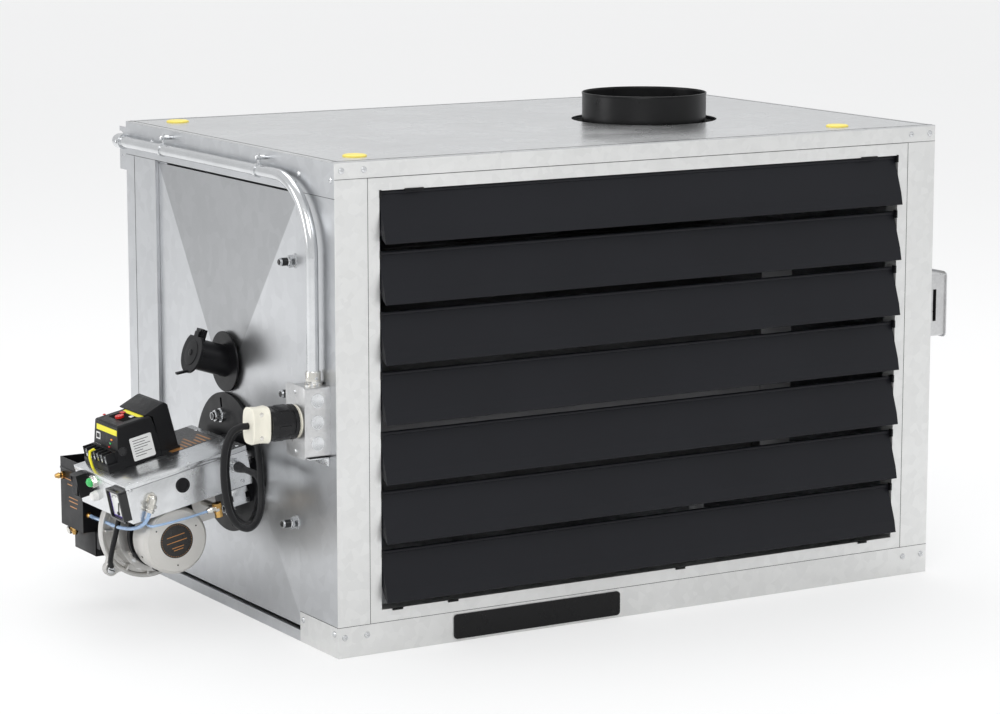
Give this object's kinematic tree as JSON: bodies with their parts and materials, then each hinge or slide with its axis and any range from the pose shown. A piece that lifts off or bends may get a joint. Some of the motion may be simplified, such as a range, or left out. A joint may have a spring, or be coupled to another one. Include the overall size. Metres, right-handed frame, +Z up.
{
  "type": "waste oil heater",
  "caption": "Floor-standing or hung waste oil heater: louvred cabinet, round chamber and flue, tilted oil burner with preheater on the end, conduit and power cord, rear fan.",
  "frame": {"origin": "centre of the cabinet's underside, on the ground", "axes": "+X to the right seen from the louvred front, +Y to the back, +Z up; the burner is at -X and the louvres face -Y"},
  "size_m": [1.3718, 0.8618, 0.7785],
  "materials": {
    "galv_sheet": "galvanised sheet, faint spangle, soft reflections",
    "front_trim": "satin light grey",
    "louvre_paint": "satin charcoal",
    "black_paint": "satin black",
    "furnace_steel": "mill scale with heat tint",
    "refractory": "pressed fibre board",
    "zinc_fastener": "zinc plate",
    "nickel": "nickel plate on brass",
    "brass": "machined brass",
    "yellow_plastic": "moulded yellow caps",
    "black_plastic": "moulded black",
    "plug_plastic": "moulded black with an ivory clamp",
    "gauge_plastic": "black case with a white dial",
    "red_plastic": "moulded red",
    "green_lens": "clear green lens in a bright nut",
    "cast_alloy": "die cast, fine grain",
    "motor_paint": "satin warm grey",
    "conduit_steel": "bright zinc plate",
    "blue_tube": "clear blue tube",
    "cord_rubber": "matt black jacket"
  },
  "bodies": {
    "cabinet": {"base_pan": "galv_sheet", "top_panel": "galv_sheet", "front_top_rail": "front_trim", "front_bottom_rail": "front_trim", "front_left_post": "front_trim", "front_right_post": "front_trim", "left_end_frame": "galv_sheet", "burner_end_panel": "galv_sheet", "right_end_panel": "galv_sheet", "rear_panel": "galv_sheet", "louvre_frame": "front_trim", "name_plate": "black_paint", "cabinet_screws": "zinc_fastener", "hanging_caps": "yellow_plastic", "flue_collar": "black_paint", "combustion_chamber": "furnace_steel", "exchanger_tubes": "furnace_steel", "exchanger_headers": "furnace_steel", "flame_target": "refractory", "chamber_saddles": "galv_sheet", "stud_hardware": "zinc_fastener", "sight_port": "black_paint", "burner_flange": "black_paint", "air_tube": "black_paint", "nozzle_assembly": "brass", "burner_deck": "galv_sheet", "cord_grip": "zinc_fastener", "control_housing": "black_plastic", "control_terminals": "zinc_fastener", "igniter_housing": "black_plastic", "rocker_body": "black_plastic", "indicator_lamps": "green_lens", "gauge_body": "gauge_plastic", "preheater_box": "black_paint", "oil_fittings": "nickel", "burner_lines": "blue_tube", "blower_housing": "cast_alloy", "burner_motor": "motor_paint", "conduit_left": "conduit_steel", "plug_box": "conduit_steel", "plug": "plug_plastic", "power_cord": "cord_rubber", "conduit_right": "conduit_steel", "switch_box": "conduit_steel", "fan_guard": "black_paint", "fan_motor": "black_paint"},
    "sight_lid": {"sight_lid": "black_paint"},
    "reset_button": {"reset_button": "red_plastic"},
    "rocker": {"rocker_button": "black_plastic"},
    "gauge_needle": {"gauge_needle": "red_plastic"},
    "blower_wheel": {"blower_wheel": "galv_sheet"},
    "air_shutter": {"air_shutter": "cast_alloy"},
    "rear_fan": {"rear_fan": "galv_sheet"},
    "louvre_1": {"louvre_blade_1": "louvre_paint"},
    "louvre_2": {"louvre_blade_2": "louvre_paint"},
    "louvre_3": {"louvre_blade_3": "louvre_paint"},
    "louvre_4": {"louvre_blade_4": "louvre_paint"},
    "louvre_5": {"louvre_blade_5": "louvre_paint"},
    "louvre_6": {"louvre_blade_6": "louvre_paint"},
    "louvre_7": {"louvre_blade_7": "louvre_paint"}
  },
  "joints": [
    {"name": "louvre_1_tilt", "type": "hinge", "parent": "cabinet", "child": "louvre_1", "pos_m": [0, -0.3545, 0.6857], "axis": [-1, 0, 0], "range_deg": [-18, 55]},
    {"name": "louvre_2_tilt", "type": "hinge", "parent": "cabinet", "child": "louvre_2", "pos_m": [0, -0.3545, 0.5965], "axis": [-1, 0, 0], "range_deg": [-18, 55]},
    {"name": "louvre_3_tilt", "type": "hinge", "parent": "cabinet", "child": "louvre_3", "pos_m": [0, -0.3545, 0.5073], "axis": [-1, 0, 0], "range_deg": [-18, 55]},
    {"name": "louvre_4_tilt", "type": "hinge", "parent": "cabinet", "child": "louvre_4", "pos_m": [0, -0.3545, 0.4181], "axis": [-1, 0, 0], "range_deg": [-18, 55]},
    {"name": "louvre_5_tilt", "type": "hinge", "parent": "cabinet", "child": "louvre_5", "pos_m": [0, -0.3545, 0.3289], "axis": [-1, 0, 0], "range_deg": [-18, 55]},
    {"name": "louvre_6_tilt", "type": "hinge", "parent": "cabinet", "child": "louvre_6", "pos_m": [0, -0.3545, 0.2397], "axis": [-1, 0, 0], "range_deg": [-18, 55]},
    {"name": "louvre_7_tilt", "type": "hinge", "parent": "cabinet", "child": "louvre_7", "pos_m": [0, -0.3545, 0.1505], "axis": [-1, 0, 0], "range_deg": [-18, 55]},
    {"name": "sight_lid_swing", "type": "hinge", "parent": "cabinet", "child": "sight_lid", "pos_m": [-0.58937, -0.004, 0.44187], "axis": [0, 1, 0], "range_deg": [0, 110]},
    {"name": "reset_button_press", "type": "slide", "parent": "cabinet", "child": "reset_button", "axis": [0.2079, 0, -0.9781], "range_m": [0, 0.0025], "stiffness_N_per_m": 400},
    {"name": "rocker_tip", "type": "hinge", "parent": "cabinet", "child": "rocker", "pos_m": [-0.77372, 0.054, 0.21136], "axis": [0, 1, 0], "range_deg": [-10, 10]},
    {"name": "gauge_needle_turn", "type": "hinge", "parent": "cabinet", "child": "gauge_needle", "pos_m": [-0.76642, -0.081, 0.19145], "axis": [-0.9781, 0, -0.2079], "range_deg": [-45, 65]},
    {"name": "blower_spin", "type": "hinge", "parent": "cabinet", "child": "blower_wheel", "pos_m": [-0.6815, 0.005, 0.14305], "axis": [0, 1, 0], "continuous": true},
    {"name": "air_shutter_turn", "type": "hinge", "parent": "cabinet", "child": "air_shutter", "pos_m": [-0.6815, 0.0363, 0.14305], "axis": [0, 1, 0], "range_deg": [0, 40]},
    {"name": "rear_fan_spin", "type": "hinge", "parent": "cabinet", "child": "rear_fan", "pos_m": [0, 0.3385, 0.372], "axis": [0, 1, 0], "continuous": true}
  ]
}
